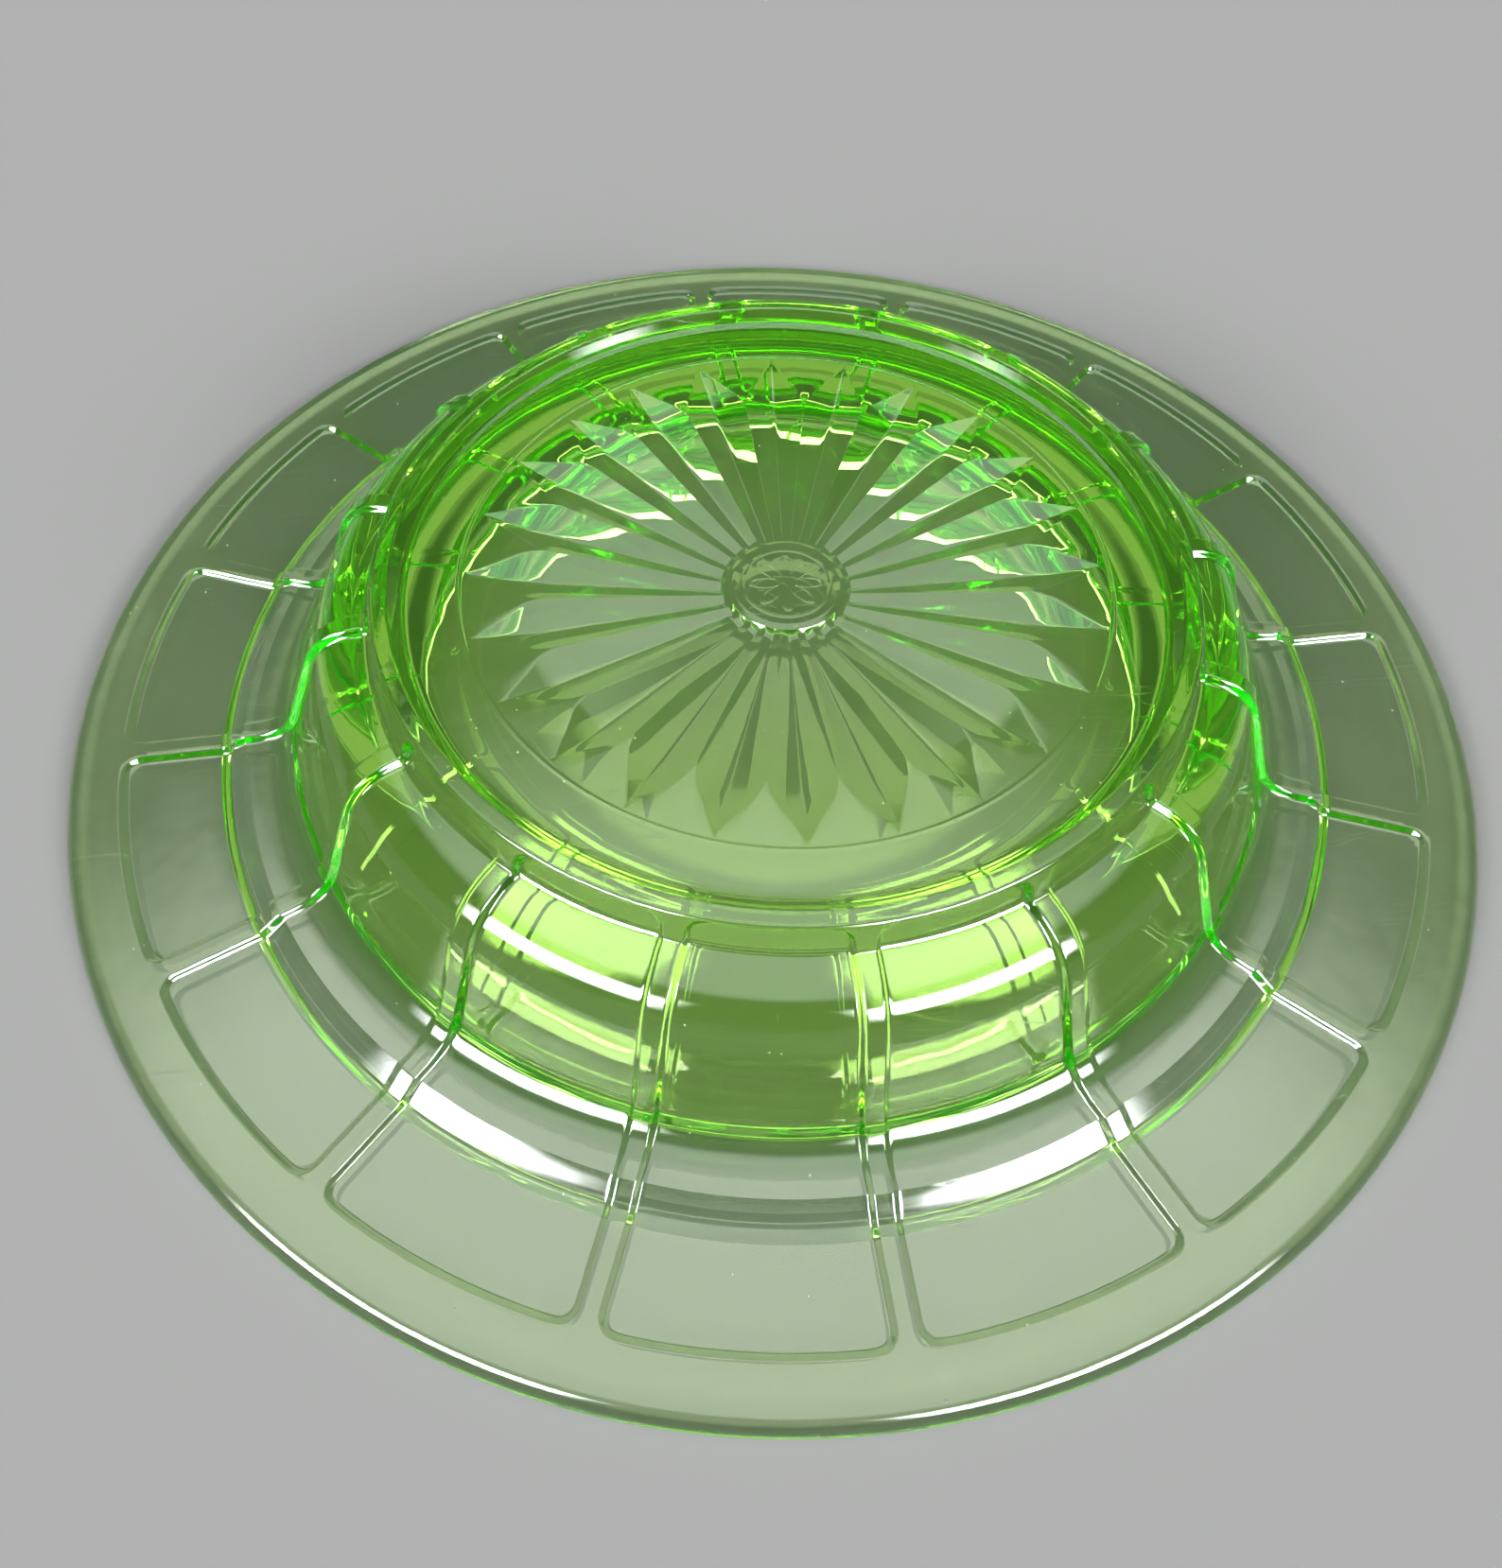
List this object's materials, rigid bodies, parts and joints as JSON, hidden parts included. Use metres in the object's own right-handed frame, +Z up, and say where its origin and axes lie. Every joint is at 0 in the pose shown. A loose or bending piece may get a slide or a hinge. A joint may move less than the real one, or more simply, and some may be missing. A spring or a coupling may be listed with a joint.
{
  "type": "pressed glass dish",
  "caption": "Round pressed uranium-glass dish with ribbed panels, flanged rim, standing ring and a star-cut base, stored upside down.",
  "frame": {"origin": "centre of the plane that the rim rests on, under the middle of the dish", "axes": "+Z up along the dish's axis, out of its foot: the dish is stored upside down, as in the picture; a half turn about X sets it for use. +X runs along one rib"},
  "size_m": [0.178, 0.178, 0.0267],
  "materials": {
    "uranium_glass": "fire-polished clear yellow-green glass, vivid green along thick edges"
  },
  "bodies": {
    "root": {"dish": "uranium_glass"}
  },
  "joints": []
}
